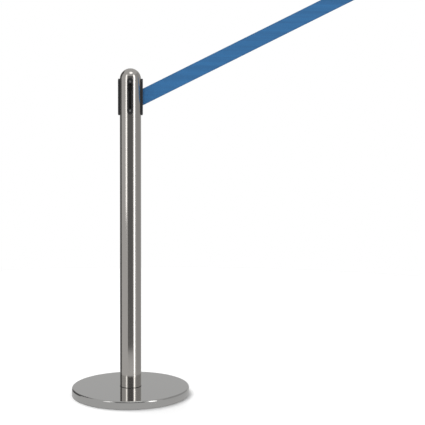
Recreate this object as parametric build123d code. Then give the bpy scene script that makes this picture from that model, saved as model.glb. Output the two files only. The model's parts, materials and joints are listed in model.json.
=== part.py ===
from build123d import *

import os
from math import acos, atan2, cos, degrees, hypot, pi, sin, sqrt

# Retractable belt stanchion.
#
# A weighted round base, a 63.5 mm post tube, and a head tube of the same size with a domed cap
# and a belt cassette inside it.  The belt leaves the mouth on the +X side; the other three
# sides carry receivers that take the belt end of the next post.
#
# Frame: millimetres, +Z up, origin on the floor at the centre of the base, front towards -Y.

# ---------------------------------------------------------------- driving dimensions
BASE_RADIUS = 175.0
BASE_TOP = 23.5
COVER_SHEET = 1.0
COVER_LIFT = 1.0            # the cover's lower edge stands this far off the floor
SHOULDER_RADIUS = 4.0

TUBE_RADIUS = 31.75
TUBE_WALL = 1.2
GASKET_THICKNESS = 1.0      # the tube stands on this ring, and this ring on the cover
HEAD_JOINT = 826.0          # where the head tube stands on the post tube
JOINT_CHAMFER = 0.2
TUBE_TOP = 941.5            # the dome adds one tube radius above this
DOME_WALL = 1.5
SEAM = 0.4                  # depth and height of the groove where the dome meets the tube

HEAD_CENTRE = 888.0         # middle height of the receivers and of the spool
PLATE_WIDTH = 18.0
PLATE_HEIGHT = 109.0
PLATE_PROUD = 5.25
SCREW_RISE = 43.0           # each plate's screws sit this far above and below its middle

BELT_WIDTH = 50.0
BELT_THICKNESS = 0.55
BELT_SLOPE = 0.5            # rise over run of the belt outside the mouth
BELT_TOTAL = 2000.0         # webbing that can be drawn out
BELT_END_X = 706.0          # near side of the belt end, drawn out to its rest place

# ---------------------------------------------------------------- fits and small stock
SLIP = 0.05                 # radial clearance of parts that are pushed together
RUN = 0.05                  # radial clearance of the spool on its axle
SOFT_GAP = 0.3              # space kept round the webbing

# ---------------------------------------------------------------- base and foot
WEIGHT_RADIUS = BASE_RADIUS - COVER_SHEET - 1.0
WEIGHT_BOTTOM = 3.0
WEIGHT_TOP = BASE_TOP - COVER_SHEET
RING_OUTER = 168.0
RING_INNER = 156.0
RING_HEIGHT = 6.0           # the ring sits in a groove of the weight and reaches the floor
BOLT_RADIUS = 6.0
BOLT_HEAD_FLATS = 19.0
BOLT_HEAD_HEIGHT = 7.5
WASHER_RADIUS = 14.0
WASHER_THICKNESS = 2.0
LOCK_RADIUS = 10.5
LOCK_THICKNESS = 1.5
COUNTERBORE_RADIUS = 18.0
COUNTERBORE_ROOF = 14.0
BOLT_LENGTH = 42.0
PLUG_HEIGHT = 30.0
PLUG_SPIGOT = 24.0
GASKET_LIP = 0.3            # how far the gasket shows round the tube

# ---------------------------------------------------------------- head
TUBE_BORE = TUBE_RADIUS - TUBE_WALL
DISC_RADIUS = TUBE_BORE - SLIP
CHAMBER_HALF = 38.5         # half the height of the spool chamber between the discs
DISC_HEIGHT = 15.0
SPIGOT_LOW = 806.0          # the lower disc's spigot reaches down here, inside the post tube
SPIGOT_WALL = 4.0
DOME_SKIRT = 8.0
AXLE_RADIUS = 3.0
AXLE_FLAT = 2.0             # distance of the axle's flat from its middle
AXLE_SEAT = 10.0            # how far the axle enters each disc

WINDOW_WIDTH = 13.0
WINDOW_HEIGHT = 2 * CHAMBER_HALF
INSERT_WIDTH = 12.8
INSERT_HEIGHT = WINDOW_HEIGHT - 0.4
INSERT_DEPTH = 23.5         # how close the receivers' inserts come to the post's middle
MOUTH_DEPTH = 26.0          # the same for the belt mouth
CHANNEL_WIDTH = 10.0
CHANNEL_MOUTH = 7.0
CHANNEL_HEIGHT = 74.0
CHANNEL_ENTRY = 22.0        # height of the wide entry at the channel's top
LIP_DEPTH = 3.0
PLATE_FACE = TUBE_RADIUS + PLATE_PROUD
SLIT_WIDTH = 3.0
SLIT_HEIGHT = 62.0
SLIT_FLARE = 2.0

SCREW_HEAD_RADIUS = 2.9
SCREW_HEAD_HEIGHT = 1.8
SCREW_SHANK_RADIUS = 1.5
SCREW_LENGTH = 13.0

# ---------------------------------------------------------------- spool
CORE_RADIUS = 8.0
CORE_BORE = 5.0
FLANGE_RADIUS = 22.0
FLANGE_THICKNESS = 2.0
FLANGE_GAP = 1.0            # room between the webbing's edges and the flanges
BUSH_LENGTH = 10.0
ANCHOR_RADIUS = 1.2
ANCHOR_ORBIT = 6.6
CUP_RADIUS = 21.0
CUP_HEIGHT = 9.0
CUP_WALL = 1.2
SPRING_THICKNESS = 0.5
SPRING_HEIGHT = 5.6
SPRING_TURNS = 7
SPRING_END_GAP = 0.02       # the coil's ends lie against the axle and the cup
SPRING_POINTS_PER_TURN = 12
THRUST_RADIUS = 7.0
THRUST_THICKNESS = 0.8

# ---------------------------------------------------------------- belt end
END_LENGTH = 56.0
END_HEIGHT = 66.0
END_THICKNESS = 13.0
END_WALL = 2.0
END_CORNER = 6.0
END_PIN_RADIUS = 2.0
END_PIN_INSET = 16.0        # pin's distance from the near side of the belt end
END_PIN_HALF = 26.0         # half the pin's length
WRAP_THICKNESS = 1.1        # the webbing's turn round the pin, sewn double
TONGUE_NECK = 6.0
TONGUE_HEAD = 9.0
TONGUE_HEAD_DEPTH = 3.0
TONGUE_LENGTH = 9.0
TONGUE_HEIGHT = 20.0
END_SCREW_RADIUS = 1.25
END_SCREW_HEAD = 2.4
END_SCREW_SPREAD = 22.0
END_SCREW_INSET = 14.0      # screws' distance from the far side

# ---------------------------------------------------------------- worked-out places
TUBE_FOOT = BASE_TOP + GASKET_THICKNESS
SIDES = {"front": 270.0, "left": 180.0, "back": 90.0, "right": 0.0}
SLOPE_ANGLE = atan2(BELT_SLOPE, 1.0)
SLIT_ENTRY_X = 31.0         # where the webbing from the roll meets the slit's middle line
DRAWN_OUT = (BELT_END_X - PLATE_FACE) / cos(SLOPE_ANGLE)
ROLL_RADIUS = sqrt(CORE_RADIUS**2 + (BELT_TOTAL - DRAWN_OUT) * BELT_THICKNESS / pi)
END_FAR_X = BELT_END_X + END_LENGTH
END_PIN_X = BELT_END_X + END_PIN_INSET


def belt_height(x):
    """Middle height of the sloping webbing at x."""
    return HEAD_CENTRE + (x - PLATE_FACE) * BELT_SLOPE


END_CENTRE = belt_height(BELT_END_X + END_PIN_INSET / 2)
PIN_CENTRE = belt_height(END_PIN_X)


# ---------------------------------------------------------------- helpers
def disc(radius, low, high, x=0.0, y=0.0):
    """A round solid about a vertical line."""
    return Pos(x, y, low) * Cylinder(radius, high - low, align=(Align.CENTER, Align.CENTER, Align.MIN))


def ring(outer, inner, low, high, x=0.0, y=0.0):
    """A round solid with a straight round hole."""
    return disc(outer, low, high, x, y) - disc(inner, low - 1, high + 1, x, y)


def block(x_range, y_range, z_range):
    """An upright box between two corners."""
    (x0, x1), (y0, y1), (z0, z1) = x_range, y_range, z_range
    size = (x1 - x0, y1 - y0, z1 - z0)
    return Pos((x0 + x1) / 2, (y0 + y1) / 2, (z0 + z1) / 2) * Box(*size)


def radial_rod(radius, start, end, height):
    """A round solid that lies along +X at a height."""
    return Pos(start, 0, height) * Rot(0, 90, 0) * Cylinder(
        radius, end - start, align=(Align.CENTER, Align.CENTER, Align.MIN)
    )


def upright_slot(width, height, start, end):
    """A stadium-shaped solid along +X, its long side upright at the head's centre."""
    outline = Rot(0, 0, 90) * SlotOverall(height, width)
    return extrude(Pos(start, 0, HEAD_CENTRE) * (Plane.YZ * outline), end - start)


def turned(shape, side):
    """The shape, made for the +X side, carried round to another side."""
    return Rot(0, 0, SIDES[side]) * shape


def save(name, shape):
    """Write one node; its separate pieces stay separate solids."""
    export_step(shape, f"parts/{name}.step")


# ---------------------------------------------------------------- base
def base_weight():
    weight = disc(WEIGHT_RADIUS, WEIGHT_BOTTOM, WEIGHT_TOP)
    weight = fillet(weight.edges().group_by(Axis.Z)[-1], SHOULDER_RADIUS - COVER_SHEET)
    weight -= disc(COUNTERBORE_RADIUS, WEIGHT_BOTTOM - 1, COUNTERBORE_ROOF)
    weight -= disc(BOLT_RADIUS + 0.5, WEIGHT_BOTTOM, WEIGHT_TOP + 1)
    return weight - ring(RING_OUTER + SLIP, RING_INNER - SLIP, WEIGHT_BOTTOM - 1, RING_HEIGHT)


def base_cover():
    outside = disc(BASE_RADIUS, COVER_LIFT, BASE_TOP)
    outside = fillet(outside.edges().group_by(Axis.Z)[-1], SHOULDER_RADIUS)
    inside = disc(BASE_RADIUS - COVER_SHEET, COVER_LIFT - 1, WEIGHT_TOP)
    inside = fillet(inside.edges().group_by(Axis.Z)[-1], SHOULDER_RADIUS - COVER_SHEET)
    return outside - inside - disc(BOLT_RADIUS + 0.5, WEIGHT_TOP - 1, BASE_TOP + 1)


def floor_ring():
    return ring(RING_OUTER, RING_INNER, 0, RING_HEIGHT)


def base_bolt():
    washers = WASHER_THICKNESS + LOCK_THICKNESS
    head_top = COUNTERBORE_ROOF - washers
    hexagon = RegularPolygon(BOLT_HEAD_FLATS / 2, 6, major_radius=False)
    head = extrude(Pos(0, 0, head_top - BOLT_HEAD_HEIGHT) * hexagon, BOLT_HEAD_HEIGHT)
    return head + disc(BOLT_RADIUS, head_top - 1, head_top + BOLT_LENGTH)


def bolt_washer():
    return ring(WASHER_RADIUS, BOLT_RADIUS + 0.3, COUNTERBORE_ROOF - WASHER_THICKNESS, COUNTERBORE_ROOF)


def lock_washer():
    """A split spring washer, its gap cut through on one side."""
    high = COUNTERBORE_ROOF - WASHER_THICKNESS
    washer = ring(LOCK_RADIUS, BOLT_RADIUS + 0.3, high - LOCK_THICKNESS, high)
    split = block((0, LOCK_RADIUS + 1), (-0.6, 0.6), (high - LOCK_THICKNESS - 1, high + 1))
    return washer - Rot(0, 0, 30) * split


def foot_gasket():
    return ring(TUBE_RADIUS + GASKET_LIP, PLUG_SPIGOT, BASE_TOP, TUBE_FOOT)


def foot_plug():
    """The threaded plug in the tube's foot, with a spigot that reaches the cover through the gasket."""
    high = TUBE_FOOT + PLUG_HEIGHT
    body = disc(DISC_RADIUS, TUBE_FOOT, high) + disc(PLUG_SPIGOT - SLIP, BASE_TOP, TUBE_FOOT + 1)
    return body - disc(BOLT_RADIUS + SLIP, BASE_TOP - 1, high + 1)


# ---------------------------------------------------------------- post
def outer_edge(tube, end):
    """The outer edge of a tube's lower end (0) or upper end (-1)."""
    return tube.edges().group_by(Axis.Z)[end].sort_by(SortBy.RADIUS)[-1]


def post_tube():
    tube = ring(TUBE_RADIUS, TUBE_BORE, TUBE_FOOT, HEAD_JOINT)
    return chamfer(outer_edge(tube, -1), JOINT_CHAMFER)


def head_tube():
    """The top of the post, with a window for each plate's insert and holes for its screws."""
    tube = ring(TUBE_RADIUS, TUBE_BORE, HEAD_JOINT, TUBE_TOP)
    tube = chamfer(outer_edge(tube, 0), JOINT_CHAMFER)
    window = block(
        (TUBE_BORE - 4, TUBE_RADIUS + 1),
        (-WINDOW_WIDTH / 2, WINDOW_WIDTH / 2),
        (HEAD_CENTRE - WINDOW_HEIGHT / 2, HEAD_CENTRE + WINDOW_HEIGHT / 2),
    )
    holes = [
        radial_rod(SCREW_SHANK_RADIUS + 0.4, TUBE_BORE - 4, TUBE_RADIUS + 1, HEAD_CENTRE + rise)
        for rise in (-SCREW_RISE, SCREW_RISE)
    ]
    for side in SIDES:
        tube -= turned(window, side)
        for hole in holes:
            tube -= turned(hole, side)
    return tube


def half_ball(radius):
    """The upper half of a ball that stands on the tube's top."""
    ball = Pos(0, 0, TUBE_TOP) * Sphere(radius)
    return ball & disc(radius + 1, TUBE_TOP, TUBE_TOP + radius + 1)


def dome_cap():
    shell = half_ball(TUBE_RADIUS) - half_ball(TUBE_RADIUS - DOME_WALL - TUBE_WALL)
    skirt = ring(DISC_RADIUS, DISC_RADIUS - DOME_WALL, TUBE_TOP - DOME_SKIRT, TUBE_TOP + 0.5)
    groove = ring(TUBE_RADIUS + 1, TUBE_RADIUS - SEAM, TUBE_TOP - 1, TUBE_TOP + SEAM)
    return shell - groove + skirt


# ---------------------------------------------------------------- cassette
def axle_bar(radius, flat, low, high):
    """A round bar with one flat along it, so that it cannot turn in its seats."""
    bar = disc(radius, low, high)
    return bar - block((flat, radius + 1), (-radius, radius), (low - 1, high + 1))


AXLE_LOW = HEAD_CENTRE - CHAMBER_HALF - AXLE_SEAT
AXLE_HIGH = HEAD_CENTRE + CHAMBER_HALF + AXLE_SEAT
SPOOL_HALF = BELT_WIDTH / 2 + FLANGE_GAP + FLANGE_THICKNESS
SPOOL_LOW = HEAD_CENTRE - SPOOL_HALF
SPOOL_HIGH = HEAD_CENTRE + SPOOL_HALF
CUP_LOW = SPOOL_LOW - CUP_HEIGHT


def drilled(body):
    """The disc with its axle seat and one screw hole on each side."""
    body -= axle_bar(AXLE_RADIUS + SLIP, AXLE_FLAT + SLIP, AXLE_LOW, AXLE_HIGH)
    for side in SIDES:
        for rise in (-SCREW_RISE, SCREW_RISE):
            hole = radial_rod(
                SCREW_SHANK_RADIUS + SLIP, PLATE_FACE - SCREW_LENGTH - 1, TUBE_RADIUS, HEAD_CENTRE + rise
            )
            body -= turned(hole, side)
    return body


def cassette_lower():
    """The chamber's lower disc, whose spigot joins the head tube to the post tube."""
    high = HEAD_CENTRE - CHAMBER_HALF
    boss_high = CUP_LOW - THRUST_THICKNESS - 2 * RUN
    body = disc(DISC_RADIUS, high - DISC_HEIGHT, high) + disc(THRUST_RADIUS, high - 1, boss_high)
    return drilled(body) + ring(DISC_RADIUS, DISC_RADIUS - SPIGOT_WALL, SPIGOT_LOW, high - DISC_HEIGHT)


def cassette_upper():
    low = HEAD_CENTRE + CHAMBER_HALF
    rebate = TUBE_TOP - DOME_SKIRT - 0.25
    body = disc(DISC_RADIUS, low, rebate)
    body += disc(DISC_RADIUS - DOME_WALL - SLIP, low, low + DISC_HEIGHT)
    body += disc(THRUST_RADIUS, SPOOL_HIGH + THRUST_THICKNESS + 2 * RUN, low + 1)
    return drilled(body)


def spool_axle():
    return axle_bar(AXLE_RADIUS, AXLE_FLAT, AXLE_LOW, AXLE_HIGH)


def thrust_washer(low):
    return ring(THRUST_RADIUS, AXLE_RADIUS + SLIP, low, low + THRUST_THICKNESS)


# ---------------------------------------------------------------- receivers and mouth
def side_plate(depth):
    """The stadium plate and its insert for the +X side, before its opening is cut."""
    plate = upright_slot(PLATE_WIDTH, PLATE_HEIGHT, TUBE_RADIUS - 3, PLATE_FACE)
    rim = plate.edges().filter_by(lambda edge: abs(edge.center().X - PLATE_FACE) < 0.01)
    plate = fillet(rim, 2.4)
    plate -= disc(TUBE_RADIUS + SLIP, HEAD_CENTRE - PLATE_HEIGHT, HEAD_CENTRE + PLATE_HEIGHT)
    insert = block(
        (depth, TUBE_RADIUS + 2),
        (-INSERT_WIDTH / 2, INSERT_WIDTH / 2),
        (HEAD_CENTRE - INSERT_HEIGHT / 2, HEAD_CENTRE + INSERT_HEIGHT / 2),
    )
    body = plate + insert
    for rise in (-SCREW_RISE, SCREW_RISE):
        height = HEAD_CENTRE + rise
        body -= radial_rod(SCREW_SHANK_RADIUS + 0.2, TUBE_RADIUS - 3, PLATE_FACE + 1, height)
        body -= radial_rod(
            SCREW_HEAD_RADIUS + 0.2, PLATE_FACE - SCREW_HEAD_HEIGHT, PLATE_FACE + 1, height
        )
    return body


def receiver():
    """A side plate with a channel: wide at its top, and narrowed by two lips below."""
    half = CHANNEL_HEIGHT / 2
    low, high = HEAD_CENTRE - half, HEAD_CENTRE + half
    back = INSERT_DEPTH + 1.4
    across = CHANNEL_WIDTH / 2
    cavity = block((back, PLATE_FACE - LIP_DEPTH), (-across, across), (low, high))
    entry = block((back, PLATE_FACE + 1), (-across, across), (high - CHANNEL_ENTRY, high))
    mouth = block((back, PLATE_FACE + 1), (-CHANNEL_MOUTH / 2, CHANNEL_MOUTH / 2), (low, high))
    return side_plate(INSERT_DEPTH) - cavity - entry - mouth


def belt_mouth():
    """A side plate with an upright slit, flared on both sides so that the webbing slides."""
    half = SLIT_HEIGHT / 2
    z_range = (HEAD_CENTRE - half, HEAD_CENTRE + half)
    slit = block((MOUTH_DEPTH - 1, PLATE_FACE + 1), (-SLIT_WIDTH / 2, SLIT_WIDTH / 2), z_range)
    outer = Polyline(
        (PLATE_FACE - SLIT_FLARE, 0),
        (PLATE_FACE + 0.01, -SLIT_WIDTH / 2 - SLIT_FLARE / 2),
        (PLATE_FACE + 0.01, SLIT_WIDTH / 2 + SLIT_FLARE / 2),
        close=True,
    )
    flare = extrude(Pos(0, 0, z_range[0]) * make_face(outer), SLIT_HEIGHT)
    throat_half = INSERT_WIDTH / 2 - 1.4
    throat = block((MOUTH_DEPTH - 1, TUBE_BORE - 0.3), (-throat_half, throat_half), z_range)
    return side_plate(MOUTH_DEPTH) - slit - flare - throat


def head_screws():
    """Eight pan-head screws, two through each plate into the discs."""
    screw = radial_rod(SCREW_SHANK_RADIUS, PLATE_FACE - SCREW_LENGTH, PLATE_FACE - 1, 0)
    screw += radial_rod(SCREW_HEAD_RADIUS, PLATE_FACE - SCREW_HEAD_HEIGHT, PLATE_FACE - 0.1, 0)
    drive = block((PLATE_FACE - 1.1, PLATE_FACE), (-0.4, 0.4), (-1.7, 1.7))
    screw = screw - drive - Rot(90, 0, 0) * drive
    return Compound(
        children=[
            turned(Pos(0, 0, HEAD_CENTRE + rise) * screw, side)
            for side in SIDES
            for rise in (-SCREW_RISE, SCREW_RISE)
        ]
    )


# ---------------------------------------------------------------- spool
def spool_core():
    core = ring(CORE_RADIUS, CORE_BORE, SPOOL_LOW, SPOOL_HIGH)
    low, high = SPOOL_LOW + FLANGE_THICKNESS, SPOOL_HIGH - FLANGE_THICKNESS
    return core - disc(ANCHOR_RADIUS + SLIP, low, high, ANCHOR_ORBIT)


def spool_flange(low):
    return ring(FLANGE_RADIUS, CORE_RADIUS + SLIP, low, low + FLANGE_THICKNESS)


def spool_bush(low):
    return ring(CORE_BORE - SLIP, AXLE_RADIUS + RUN, low, low + BUSH_LENGTH)


def belt_anchor_pin():
    low = SPOOL_LOW + FLANGE_THICKNESS + 0.2
    return disc(ANCHOR_RADIUS, low, 2 * HEAD_CENTRE - low, ANCHOR_ORBIT)


def spring_cup():
    cup = disc(CUP_RADIUS, CUP_LOW, SPOOL_LOW)
    cup -= disc(CUP_RADIUS - CUP_WALL, CUP_LOW - 1, SPOOL_LOW - CUP_WALL)
    return cup - disc(AXLE_RADIUS + 0.5, CUP_LOW, SPOOL_LOW + 1)


def spring_cover():
    return ring(CUP_RADIUS - CUP_WALL - SLIP, AXLE_RADIUS + 0.5, CUP_LOW, CUP_LOW + CUP_WALL)


def clock_spring():
    """A flat strip coiled on edge from the axle out to the cup."""
    low = CUP_LOW + CUP_WALL + 0.4
    steps = SPRING_TURNS * SPRING_POINTS_PER_TURN
    half = SPRING_THICKNESS / 2
    first = AXLE_RADIUS + half + SPRING_END_GAP
    last = CUP_RADIUS - CUP_WALL - half - SPRING_END_GAP

    def coil(offset):
        points = []
        for step in range(steps + 1):
            angle = 2 * pi * step / SPRING_POINTS_PER_TURN
            radius = first + (last - first) * step / steps + offset
            points.append((radius * cos(angle), radius * sin(angle)))
        return Spline(*points)

    near, far = coil(-half), coil(half)
    edges = [near, far, Line(near @ 0, far @ 0), Line(near @ 1, far @ 1)]
    return extrude(Pos(0, 0, low) * make_face(edges), SPRING_HEIGHT)


def belt_roll():
    """The webbing still on the spool."""
    half = BELT_WIDTH / 2
    return ring(ROLL_RADIUS, CORE_RADIUS + SLIP, HEAD_CENTRE - half, HEAD_CENTRE + half)


# ---------------------------------------------------------------- belt
def belt():
    """The webbing from the roll to the belt end: level through the mouth, then sloping.

    Its edges run up the slope while its ends stay upright, as on a belt whose far clip
    stands upright in a higher post.
    """
    run_radius = ROLL_RADIUS + SOFT_GAP + BELT_THICKNESS / 2
    reach = acos(run_radius / SLIT_ENTRY_X)
    leave = (run_radius * cos(reach), run_radius * sin(reach))
    length = hypot(SLIT_ENTRY_X - leave[0], leave[1])
    inner = Box(length, BELT_THICKNESS, BELT_WIDTH, align=(Align.MAX, Align.CENTER, Align.CENTER))
    heading = degrees(atan2(-leave[1], SLIT_ENTRY_X - leave[0]))
    inner = Pos(SLIT_ENTRY_X, 0, HEAD_CENTRE) * Rot(0, 0, heading) * inner
    half = BELT_WIDTH / 2
    far = END_PIN_X - END_PIN_RADIUS - WRAP_THICKNESS / 2
    start = SLIT_ENTRY_X - BELT_THICKNESS / 2
    outline = Polyline(
        (start, HEAD_CENTRE - half),
        (PLATE_FACE, HEAD_CENTRE - half),
        (far, belt_height(far) - half),
        (far, belt_height(far) + half),
        (PLATE_FACE, HEAD_CENTRE + half),
        (start, HEAD_CENTRE + half),
        close=True,
    )
    outer = extrude(Plane.XZ * make_face(outline), BELT_THICKNESS / 2, both=True)
    wrap_outer, wrap_inner = END_PIN_RADIUS + WRAP_THICKNESS, END_PIN_RADIUS + SLIP
    wrap = ring(wrap_outer, wrap_inner, PIN_CENTRE - half, PIN_CENTRE + half, END_PIN_X)
    return inner + outer + wrap


# ---------------------------------------------------------------- belt end
def end_shell_outline():
    """Side view of the belt end, with rounded corners."""
    middle = (BELT_END_X + END_FAR_X) / 2
    return Plane.XZ * (Pos(middle, END_CENTRE) * RectangleRounded(END_LENGTH, END_HEIGHT, END_CORNER))


def belt_slot():
    """The hollow for the webbing: a slit at the near side, and room round the pin."""
    half = BELT_WIDTH / 2
    near = BELT_END_X - 1
    far = END_PIN_X + END_PIN_RADIUS
    outline = Polyline(
        (near, belt_height(near) - half - 1.5),
        (far, belt_height(far) - half - 1.5),
        (far, belt_height(far) + half + 1.5),
        (near, belt_height(near) + half + 1.5),
        close=True,
    )
    slit = extrude(Plane.XZ * make_face(outline), 1.0, both=True)
    room_half = half + 0.5
    room_radius = END_PIN_RADIUS + WRAP_THICKNESS + SOFT_GAP
    room = disc(room_radius, PIN_CENTRE - room_half, PIN_CENTRE + room_half, END_PIN_X)
    seat_half = END_PIN_HALF + 0.2
    seat = disc(END_PIN_RADIUS + SLIP, PIN_CENTRE - seat_half, PIN_CENTRE + seat_half, END_PIN_X)
    return slit + room + seat


def end_screw_places():
    """The shells' two screws, near the far side."""
    x = END_FAR_X - END_SCREW_INSET
    return [(x, END_CENTRE + side * END_SCREW_SPREAD) for side in (-1, 1)]


def across_rod(radius, x, z, y_start, y_end):
    """A round solid along Y."""
    rod = Cylinder(radius, y_end - y_start, align=(Align.CENTER, Align.CENTER, Align.MAX))
    return Pos(x, y_start, z) * Rot(90, 0, 0) * rod


def end_shell(side):
    """One half of the belt end: side -1 is the front one, side 1 the back one."""
    shell = extrude(end_shell_outline(), -side * END_THICKNESS / 2)
    face = shell.edges().filter_by(lambda edge: abs(edge.center().Y - side * END_THICKNESS / 2) < 0.01)
    shell = fillet(face, 2.0)
    shell -= belt_slot()
    if side < 0:
        for x, z in end_screw_places():
            shell -= across_rod(END_SCREW_RADIUS + SLIP, x, z, -END_THICKNESS / 2 + END_WALL, 1)
        return shell + tongue()
    for x, z in end_screw_places():
        shell -= across_rod(END_SCREW_RADIUS + 0.2, x, z, -1, END_THICKNESS)
        shell -= across_rod(END_SCREW_HEAD + 0.2, x, z, END_THICKNESS / 2 - 1.5, END_THICKNESS)
    return shell


def tongue():
    """The T-shaped tongue that hangs in a receiver's channel; its neck runs into the front shell."""
    low, high = END_CENTRE - TONGUE_HEIGHT / 2, END_CENTRE + TONGUE_HEIGHT / 2
    neck_half = TONGUE_NECK / 2
    tip = END_FAR_X + TONGUE_LENGTH
    neck = block((END_FAR_X - 1, tip), (-neck_half, neck_half), (low, high))
    neck -= block((END_FAR_X - 2, END_FAR_X), (0, neck_half + 1), (low - 1, high + 1))
    head = block((tip - TONGUE_HEAD_DEPTH, tip), (-TONGUE_HEAD / 2, TONGUE_HEAD / 2), (low, high))
    return neck + head


def belt_end_pin():
    return disc(END_PIN_RADIUS, PIN_CENTRE - END_PIN_HALF, PIN_CENTRE + END_PIN_HALF, END_PIN_X)


def belt_end_screws():
    front = -END_THICKNESS / 2 + END_WALL + 0.3
    back = END_THICKNESS / 2
    return Compound(
        children=[
            across_rod(END_SCREW_RADIUS, x, z, front, back - 1)
            + across_rod(END_SCREW_HEAD, x, z, back - 1.5, back - 0.2)
            for x, z in end_screw_places()
        ]
    )


def main():
    os.makedirs("parts", exist_ok=True)
    nodes = {
        "base_weight": base_weight(),
        "base_cover": base_cover(),
        "floor_ring": floor_ring(),
        "base_bolt": base_bolt(),
        "bolt_washer": bolt_washer(),
        "lock_washer": lock_washer(),
        "foot_gasket": foot_gasket(),
        "foot_plug": foot_plug(),
        "post_tube": post_tube(),
        "head_tube": head_tube(),
        "dome_cap": dome_cap(),
        "cassette_lower": cassette_lower(),
        "cassette_upper": cassette_upper(),
        "spool_axle": spool_axle(),
        "thrust_washer_lower": thrust_washer(CUP_LOW - THRUST_THICKNESS - RUN),
        "thrust_washer_upper": thrust_washer(SPOOL_HIGH + RUN),
        "belt_mouth": belt_mouth(),
        "head_screws": head_screws(),
        "spool_core": spool_core(),
        "spool_flange_lower": spool_flange(SPOOL_LOW),
        "spool_flange_upper": spool_flange(SPOOL_HIGH - FLANGE_THICKNESS),
        "spool_bush_lower": spool_bush(SPOOL_LOW),
        "spool_bush_upper": spool_bush(SPOOL_HIGH - BUSH_LENGTH),
        "belt_anchor_pin": belt_anchor_pin(),
        "spring_cup": spring_cup(),
        "spring_cover": spring_cover(),
        "clock_spring": clock_spring(),
        "belt_roll": belt_roll(),
        "belt": belt(),
        "belt_end_front": end_shell(-1),
        "belt_end_back": end_shell(1),
        "belt_end_pin": belt_end_pin(),
        "belt_end_screws": belt_end_screws(),
    }
    for side in ("front", "left", "back"):
        nodes[f"receiver_{side}"] = turned(receiver(), side)
    for name, shape in nodes.items():
        save(name, shape)


main()
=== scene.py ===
"""Retractable belt stanchion: looks, light and camera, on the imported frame."""
import json
from math import cos, pi, radians, sin, sqrt

import bmesh
import bpy
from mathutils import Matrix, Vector


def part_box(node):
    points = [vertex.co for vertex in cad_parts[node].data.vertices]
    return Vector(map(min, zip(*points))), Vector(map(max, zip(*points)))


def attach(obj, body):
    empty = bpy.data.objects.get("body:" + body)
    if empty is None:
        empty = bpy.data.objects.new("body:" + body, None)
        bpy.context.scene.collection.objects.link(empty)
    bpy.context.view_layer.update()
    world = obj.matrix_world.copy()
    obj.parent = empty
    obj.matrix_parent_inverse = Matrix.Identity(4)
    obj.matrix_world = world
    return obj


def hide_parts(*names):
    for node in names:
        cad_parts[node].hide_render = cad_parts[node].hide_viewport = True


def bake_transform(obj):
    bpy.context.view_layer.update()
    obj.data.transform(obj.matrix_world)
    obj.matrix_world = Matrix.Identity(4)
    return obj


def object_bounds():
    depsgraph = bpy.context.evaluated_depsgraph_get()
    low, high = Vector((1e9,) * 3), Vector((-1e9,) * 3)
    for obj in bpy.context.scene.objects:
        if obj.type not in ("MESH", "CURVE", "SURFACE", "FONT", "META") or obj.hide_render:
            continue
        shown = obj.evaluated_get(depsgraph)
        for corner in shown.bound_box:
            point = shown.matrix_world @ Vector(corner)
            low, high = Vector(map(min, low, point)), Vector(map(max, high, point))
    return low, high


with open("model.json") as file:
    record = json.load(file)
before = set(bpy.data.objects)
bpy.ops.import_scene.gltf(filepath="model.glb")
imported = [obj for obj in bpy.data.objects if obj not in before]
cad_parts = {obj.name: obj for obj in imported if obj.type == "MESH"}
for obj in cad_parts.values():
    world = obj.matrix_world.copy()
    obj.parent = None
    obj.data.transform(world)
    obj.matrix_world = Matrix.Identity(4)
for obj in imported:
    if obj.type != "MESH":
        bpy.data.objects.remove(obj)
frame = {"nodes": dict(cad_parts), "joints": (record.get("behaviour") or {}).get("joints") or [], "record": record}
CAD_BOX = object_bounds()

MM = 0.001
NODES = frame["nodes"]
SLIDE = next(joint for joint in frame["joints"] if joint["name"] == "belt_slide")

# ---------------------------------------------------------------- camera, in metres and degrees
CAMERA_PLACE = (0.0799, -2.5977, 0.6991)
CAMERA_TURN = -1.666        # heading right of +Y is negative
CAMERA_TILT = -0.811        # below level
LENS = 73.52
LENS_SHIFT = (0.0706, -0.0941)      # the post stands upright left of the picture's middle

# ---------------------------------------------------------------- belt, in metres
SLOPE = SLIDE["axis"][2] / SLIDE["axis"][0]
BELT_WIDTH = 50.0 * MM
BELT_HALF_THICKNESS = 0.275 * MM
HEAD_CENTRE = 888.0 * MM
SLIT_ENTRY_X = 31.0 * MM    # where the webbing from the roll meets the slit's middle line
MOUTH_FACE_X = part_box("belt_mouth")[1].x    # here the webbing turns from level to its slope
STRIP_START_X = 18.0 * MM   # inside the mouth
WEAVE_PITCH = 1.3 * MM
SELVEDGE = 2.0 * MM


# ---------------------------------------------------------------- materials
def new_material(name, colour, roughness, metallic=0.0, **sockets):
    """A Principled material; sockets names any other input that is the same all over."""
    material = bpy.data.materials.new(name)
    material.use_nodes = True
    shader = material.node_tree.nodes["Principled BSDF"]
    shader.inputs["Base Color"].default_value = (*colour, 1.0)
    shader.inputs["Roughness"].default_value = roughness
    shader.inputs["Metallic"].default_value = metallic
    for socket, value in sockets.items():
        shader.inputs[socket.replace("_", " ")].default_value = value
    return material


def add(material, kind, **settings):
    """A new node of a material, with its own properties set."""
    node = material.node_tree.nodes.new(kind)
    for name, value in settings.items():
        setattr(node, name, value)
    return node


def join(material, source, target):
    material.node_tree.links.new(source, target)


def shader_of(material):
    return material.node_tree.nodes["Principled BSDF"]


def object_point(material, scale=(1.0, 1.0, 1.0)):
    """The surface point in metres, each axis multiplied by scale."""
    place = add(material, "ShaderNodeTexCoord")
    mapping = add(material, "ShaderNodeMapping")
    mapping.inputs["Scale"].default_value = scale
    join(material, place.outputs["Object"], mapping.inputs["Vector"])
    return mapping.outputs["Vector"]


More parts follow.
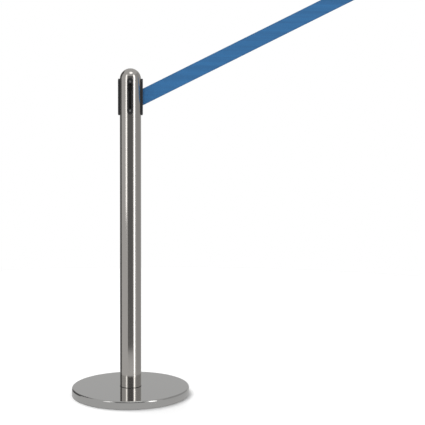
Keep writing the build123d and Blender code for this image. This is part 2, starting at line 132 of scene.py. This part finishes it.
def noise(material, scale, detail=3.0, stretch=(1.0, 1.0, 1.0)):
    """Noise whose blotches are about 1/scale metres wide."""
    texture = add(material, "ShaderNodeTexNoise")
    texture.inputs["Scale"].default_value = scale
    texture.inputs["Detail"].default_value = detail
    join(material, object_point(material, stretch), texture.inputs["Vector"])
    return texture.outputs["Fac"]


def spread(material, value, low, high):
    """A 0 to 1 value carried to low to high."""
    span = add(material, "ShaderNodeMapRange")
    span.inputs["From Min"].default_value = 0.3
    span.inputs["From Max"].default_value = 0.7
    span.inputs["To Min"].default_value = low
    span.inputs["To Max"].default_value = high
    join(material, value, span.inputs["Value"])
    return span.outputs["Result"]


def bump(material, height, distance, strength=1.0):
    """Raises the surface by height times distance, in metres."""
    node = add(material, "ShaderNodeBump")
    node.inputs["Strength"].default_value = strength
    node.inputs["Distance"].default_value = distance
    join(material, height, node.inputs["Height"])
    join(material, node.outputs["Normal"], shader_of(material).inputs["Normal"])


def tint(material, factor, dark, light):
    """Base colour that runs from dark to light with factor."""
    mix = add(material, "ShaderNodeMix", data_type="RGBA")
    mix.inputs["A"].default_value = (*dark, 1.0)
    mix.inputs["B"].default_value = (*light, 1.0)
    join(material, factor, mix.inputs["Factor"])
    join(material, mix.outputs["Result"], shader_of(material).inputs["Base Color"])


def polished_steel(name, colour, smooth, worn, stretch):
    """Mirror-polished stainless steel with the fine lines that polishing leaves."""
    material = new_material(name, colour, smooth, metallic=1.0)
    lines = noise(material, 220.0, 4.0, stretch)
    clouds = noise(material, 9.0, 3.0)
    both = add(material, "ShaderNodeMath", operation="MULTIPLY")
    join(material, lines, both.inputs[0])
    join(material, clouds, both.inputs[1])
    roughness = add(material, "ShaderNodeMapRange")
    roughness.inputs["From Min"].default_value = 0.15
    roughness.inputs["From Max"].default_value = 0.40
    roughness.inputs["To Min"].default_value = smooth
    roughness.inputs["To Max"].default_value = worn
    join(material, both.outputs["Value"], roughness.inputs["Value"])
    join(material, roughness.outputs["Result"], shader_of(material).inputs["Roughness"])
    bump(material, lines, 0.004 * MM, 0.15)
    return material


def moulded_plastic(name, colour, roughness, grain=0.02 * MM):
    """Moulded plastic with a fine spark-eroded grain and a slightly uneven gloss."""
    material = new_material(name, colour, roughness)
    fine = noise(material, 1400.0, 2.0)
    join(material, spread(material, noise(material, 60.0), roughness - 0.05, roughness + 0.06),
         shader_of(material).inputs["Roughness"])
    bump(material, fine, grain)
    return material


def plain_metal(name, colour, roughness, metallic=1.0, scale=500.0):
    """Machined or plated metal with a little unevenness in its gloss."""
    material = new_material(name, colour, roughness, metallic=metallic)
    marks = noise(material, scale, 4.0, (1.0, 1.0, 0.2))
    join(material, spread(material, marks, roughness * 0.8, roughness * 1.25),
         shader_of(material).inputs["Roughness"])
    bump(material, marks, 0.01 * MM)
    return material


def cast_iron():
    material = new_material("cast_iron", (0.03, 0.03, 0.032), 0.7)
    grain = noise(material, 350.0, 6.0)
    patches = spread(material, noise(material, 14.0), 0.0, 1.0)
    tint(material, patches, (0.022, 0.022, 0.023), (0.05, 0.048, 0.046))
    bump(material, grain, 0.4 * MM)
    return material


def rubber():
    material = new_material("rubber", (0.018, 0.018, 0.018), 0.8)
    bump(material, noise(material, 900.0, 3.0), 0.1 * MM)
    return material


def math_node(material, operation, first, second):
    """One math node; first and second are sockets or numbers."""
    node = add(material, "ShaderNodeMath", operation=operation)
    for socket, value in zip(node.inputs, (first, second)):
        if isinstance(value, (int, float)):
            socket.default_value = value
        else:
            join(material, value, socket)
    return node.outputs["Value"]


def webbing(name, slope):
    """Blue woven webbing: warp ribs along the belt, crossed by the weft, between two selvedges. Its colour is
    painted lighter on the raised threads and darker in the weave's hollows, as painted shade.
    """
    material = new_material(name, (0.012, 0.11, 0.28), 0.72, Sheen_Weight=0.1, Sheen_Roughness=0.45)
    place = add(material, "ShaderNodeTexCoord")
    parts = add(material, "ShaderNodeSeparateXYZ")
    join(material, place.outputs["Object"], parts.inputs["Vector"])
    along = parts.outputs["X"]
    rise = math_node(material, "MULTIPLY", along, slope)
    across = math_node(material, "SUBTRACT", parts.outputs["Z"], rise)

    def wave(value, pitch, shift=0.0):
        turns = math_node(material, "MULTIPLY", value, 2 * pi / pitch)
        return math_node(material, "SINE", math_node(material, "ADD", turns, shift), 0.0)

    ribs = wave(across, WEAVE_PITCH)
    weft = wave(along, WEAVE_PITCH * 0.8)
    offset = wave(along, WEAVE_PITCH * 0.8, pi)
    stagger = add(material, "ShaderNodeMix", data_type="FLOAT")
    every_other = math_node(material, "GREATER_THAN", wave(across, WEAVE_PITCH * 2), 0.0)
    join(material, every_other, stagger.inputs["Factor"])
    join(material, weft, stagger.inputs["A"])
    join(material, offset, stagger.inputs["B"])
    crossing = math_node(material, "MULTIPLY", stagger.outputs["Result"], 0.35)
    height = math_node(material, "ADD", math_node(material, "ABSOLUTE", ribs, 0.0), crossing)
    fibre = noise(material, 2600.0, 3.0, (0.25, 1.0, 1.0))
    # painted shade: the weave's raised threads are painted lighter and its hollows darker; the fibre noise is the
    # yarn's own uneven tone
    shade = math_node(material, "ADD", math_node(material, "MULTIPLY", height, 0.42),
                      math_node(material, "MULTIPLY", fibre, 0.5))
    # lengthwise streaks of uneven yarn tone
    streaks = noise(material, 120.0, 2.0, (0.02, 1.0, 1.0))
    shade = math_node(material, "ADD", shade, math_node(material, "MULTIPLY", streaks, 1.1))
    shade = math_node(material, "SUBTRACT", shade, 0.4)
    # darker along both edges, over the selvedge's width
    middle = HEAD_CENTRE - MOUTH_FACE_X * slope
    from_middle = math_node(material, "ABSOLUTE", math_node(material, "SUBTRACT", across, middle), 0.0)
    edge = math_node(material, "GREATER_THAN", from_middle, BELT_WIDTH / 2 - SELVEDGE)
    shade = math_node(material, "SUBTRACT", shade, math_node(material, "MULTIPLY", edge, 0.35))
    # the colour runs dark to light with the painted weave shade, the yarn's tone and the darker edges
    tint(material, shade, (0.006, 0.075, 0.200), (0.017, 0.150, 0.370))
    bump(material, math_node(material, "ADD", height, math_node(material, "MULTIPLY", fibre, 0.5)), 0.12 * MM)
    return material


MATERIALS = {
    "polished_steel": polished_steel("polished_steel", (0.64, 0.612, 0.58), 0.07, 0.13, (1.0, 1.0, 0.003)),
    "base_steel": polished_steel("base_steel", (0.62, 0.615, 0.60), 0.03, 0.09, (1.0, 1.0, 1.0)),
    "cast_iron": cast_iron(),
    "rubber": rubber(),
    "zinc": plain_metal("zinc", (0.55, 0.56, 0.58), 0.35),
    "plain_steel": plain_metal("plain_steel", (0.45, 0.45, 0.46), 0.3),
    "screw_steel": plain_metal("screw_steel", (0.78, 0.78, 0.78), 0.25),
    "brass": plain_metal("brass", (0.6, 0.42, 0.16), 0.3),
    "spring_steel": plain_metal("spring_steel", (0.2, 0.23, 0.3), 0.3),
    "black_plastic": moulded_plastic("black_plastic", (0.020, 0.020, 0.021), 0.36),
    "nylon": moulded_plastic("nylon", (0.03, 0.03, 0.031), 0.5),
    "acetal": moulded_plastic("acetal", (0.75, 0.75, 0.72), 0.4),
    "webbing": webbing("webbing", SLOPE),
}


def paint(obj, material):
    """Puts one material on all of a piece."""
    obj.data.materials.clear()
    obj.data.materials.append(material)


for subpart in frame["record"]["subparts"]:
    paint(NODES[subpart["node"]], MATERIALS[subpart["material_slot"]])


# ---------------------------------------------------------------- belt
def belt_section():
    """(height, half thickness) pairs from the webbing's lower edge to its upper edge."""
    half = BELT_WIDTH / 2
    steps = 16
    body = [
        (-half + SELVEDGE + (BELT_WIDTH - 2 * SELVEDGE) * step / steps, BELT_HALF_THICKNESS)
        for step in range(steps + 1)
    ]
    bead = 1.5 * BELT_HALF_THICKNESS
    lower = [
        (-half, 0.3 * bead),
        (-half + 0.15 * MM, 0.8 * bead),
        (-half + 0.5 * MM, bead),
        (-half + 1.1 * MM, bead),
    ]
    upper = [(-height, thick) for height, thick in reversed(lower)]
    return lower + body + upper


def belt_centre(x):
    """Middle of the sloping webbing at x."""
    return Vector((x, 0.0, HEAD_CENTRE + (x - MOUTH_FACE_X) * SLOPE))


def strip(name, stations, ripple):
    """A closed strip of webbing through (centre, sideways) stations; ripple(x, height) moves it sideways."""
    section = belt_section()
    loop = section + [(height, -thick) for height, thick in reversed(section)]
    mesh = bpy.data.meshes.new(name)
    shape = bmesh.new()
    rows = []
    for centre, sideways in stations:
        row = []
        for height, thick in loop:
            shift = thick + ripple(centre.x, height)
            row.append(shape.verts.new(centre + sideways * shift + Vector((0.0, 0.0, height))))
        rows.append(row)
    for near, far in zip(rows, rows[1:]):
        for i in range(len(loop)):
            j = (i + 1) % len(loop)
            shape.faces.new((near[i], near[j], far[j], far[i]))
    shape.faces.new(rows[0])
    shape.faces.new(list(reversed(rows[-1])))
    bmesh.ops.recalc_face_normals(shape, faces=shape.faces)
    for face in shape.faces:
        face.smooth = len(face.verts) == 4
    shape.to_mesh(mesh)
    shape.free()
    obj = bpy.data.objects.new(name, mesh)
    bpy.context.scene.collection.objects.link(obj)
    paint(obj, MATERIALS["webbing"])
    return obj


def make_belt():
    """The webbing outside the head, from the mouth to the belt end."""
    pin_low, pin_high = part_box("belt_end_pin")
    far_x = (pin_low.x + pin_high.x) / 2 - 2.5 * MM
    count = 180
    stations = []
    for step in range(count + 1):
        x = STRIP_START_X + (far_x - STRIP_START_X) * step / count
        stations.append((belt_centre(x), Vector((0.0, 1.0, 0.0))))

    def ripple(x, height):
        share = (x - STRIP_START_X) / (far_x - STRIP_START_X)
        held = sin(pi * min(max(share, 0.0), 1.0))
        lean = 0.5 * MM * sin(9.0 * share + 60.0 * height)
        return held * (lean + 0.4 * MM * sin(23.0 * share))

    belt = strip("belt_webbing", stations, ripple)
    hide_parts("belt")
    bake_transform(belt)
    return belt


def make_lead():
    """The short run of webbing inside the head, from the roll to the mouth."""
    roll_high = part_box("belt_roll")[1]
    radius = roll_high.x + 0.6 * MM
    reach = radius / SLIT_ENTRY_X
    leave = Vector((radius * reach, radius * sqrt(1 - reach * reach), HEAD_CENTRE))
    mouth = Vector((SLIT_ENTRY_X, 0.0, HEAD_CENTRE))
    run = mouth - leave
    sideways = Vector((-run.y, run.x, 0.0)).normalized()
    count = 12
    stations = [(leave + run * (0.96 * step / count), sideways) for step in range(count + 1)]
    lead = strip("belt_lead", stations, lambda x, height: 0.0)
    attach(lead, "post")
    return lead


make_belt()
make_lead()


# ---------------------------------------------------------------- studio, in metres and degrees
STUDIO_RADIUS = 8.0
BOARD_RADIUS = 3.8          # all of each light and board is well inside the walls
WALL_LEVEL = 0.50
BELOW_FLOOR = -0.9          # lights and boards reach down here, as a shiny floor would show them
FLOOR_COLOUR = (0.65, 0.65, 0.65)


def glowing(name, level):
    """A plain grey that looks the same from everywhere, whatever light falls on it."""
    material = bpy.data.materials.new(name)
    material.use_nodes = True
    material.node_tree.nodes.clear()
    glow = add(material, "ShaderNodeEmission")
    glow.inputs["Strength"].default_value = level
    output = add(material, "ShaderNodeOutputMaterial")
    join(material, glow.outputs["Emission"], output.inputs["Surface"])
    return material


def reflected_only(name, shape, level):
    """Turns a bmesh into a piece of the studio that only shiny surfaces see."""
    mesh = bpy.data.meshes.new(name)
    shape.to_mesh(mesh)
    shape.free()
    obj = bpy.data.objects.new(name, mesh)
    bpy.context.scene.collection.objects.link(obj)
    obj.visible_camera = False
    obj.visible_diffuse = False
    obj.visible_shadow = False
    paint(obj, glowing(name, level))


def studio_walls():
    """A plain grey room, as a ball round the scene."""
    shape = bmesh.new()
    bmesh.ops.create_icosphere(shape, subdivisions=5, radius=STUDIO_RADIUS)
    reflected_only("studio_walls", shape, WALL_LEVEL)


def board(name, bearing, width, foot, top, level):
    """An upright curved light or board; bearing and width are seen from the post, from -Y towards +X."""
    shape = bmesh.new()
    steps = 24
    columns = []
    for step in range(steps + 1):
        angle = radians(bearing + width * (step / steps - 0.5))
        x, y = BOARD_RADIUS * sin(angle), -BOARD_RADIUS * cos(angle)
        columns.append((shape.verts.new((x, y, foot)), shape.verts.new((x, y, top))))
    for (low, high), (next_low, next_high) in zip(columns, columns[1:]):
        shape.faces.new((low, next_low, next_high, high))
    reflected_only(name, shape, level)


def overhead_light(name, place, radius, level):
    """A round light that hangs level above the scene."""
    shape = bmesh.new()
    bmesh.ops.create_circle(shape, cap_ends=True, segments=48, radius=radius)
    bmesh.ops.translate(shape, verts=shape.verts, vec=place)
    reflected_only(name, shape, level)


def floor():
    """A pale round floor that runs out into the white backdrop."""
    shape = bmesh.new()
    bmesh.ops.create_circle(shape, cap_ends=True, segments=96, radius=3.0)
    mesh = bpy.data.meshes.new("studio_floor")
    shape.to_mesh(mesh)
    shape.free()
    ground = bpy.data.objects.new("studio_floor", mesh)
    bpy.context.scene.collection.objects.link(ground)
    ground.location.z = CAD_BOX[0].z
    ground.visible_glossy = False
    paint(ground, new_material("studio_floor", FLOOR_COLOUR, 0.9, Specular_IOR_Level=0.0))


def light_object(name, data, place, aim):
    """Aims a light; shiny surfaces don't reflect it, because the studio's boards give them theirs."""
    light = bpy.data.objects.new(name, data)
    light.location = place
    light.rotation_mode = "QUATERNION"
    light.rotation_quaternion = (Vector(aim) - Vector(place)).to_track_quat("-Z", "Y")
    light.visible_glossy = False
    bpy.context.scene.collection.objects.link(light)


def soft_light(name, place, aim, size, power):
    """A square soft light."""
    data = bpy.data.lights.new(name, "AREA")
    data.size = size
    data.energy = power
    light_object(name, data, place, aim)


def wide_light(name, place, aim, spread_angle, strength):
    """A very large far light, which falls evenly on all of the floor."""
    data = bpy.data.lights.new(name, "SUN")
    data.angle = radians(spread_angle)
    data.energy = strength
    light_object(name, data, place, aim)


def studio():
    scene = bpy.context.scene
    scene.view_settings.view_transform = "Standard"
    world = bpy.data.worlds.new("studio")
    scene.world = world
    world.use_nodes = True
    background = world.node_tree.nodes["Background"]
    background.inputs["Color"].default_value = (1.0, 1.0, 1.0, 1.0)
    background.inputs["Strength"].default_value = 1.0
    studio_walls()
    board("light_left", bearing=-44, width=14, foot=0.3, top=4.0, level=1.7)
    board("light_right", bearing=44, width=14, foot=BELOW_FLOOR, top=4.0, level=2.4)
    board("board_front", bearing=0, width=56, foot=-0.7, top=3.0, level=0.13)
    board("board_left", bearing=-130, width=44, foot=BELOW_FLOOR, top=4.5, level=0.10)
    board("board_right", bearing=105, width=80, foot=BELOW_FLOOR, top=4.5, level=0.35)
    overhead_light("light_overhead", place=(0.3, -1.2, 3.4), radius=0.7, level=1.6)
    floor()
    soft_light("key", (-1.6, -1.4, 2.6), (0.1, 0.0, 0.6), 1.6, 22.0)
    wide_light("back", (-0.9, 1.7, 2.4), (0.0, 0.0, 0.2), 40.0, 2.6)


def camera():
    data = bpy.data.cameras.new("camera")
    data.lens = LENS
    data.shift_x, data.shift_y = LENS_SHIFT
    obj = bpy.data.objects.new("camera", data)
    obj.location = CAMERA_PLACE
    obj.rotation_euler = (radians(90.0 + CAMERA_TILT), 0.0, radians(CAMERA_TURN))
    bpy.context.scene.collection.objects.link(obj)
    bpy.context.scene.camera = obj


studio()
camera()
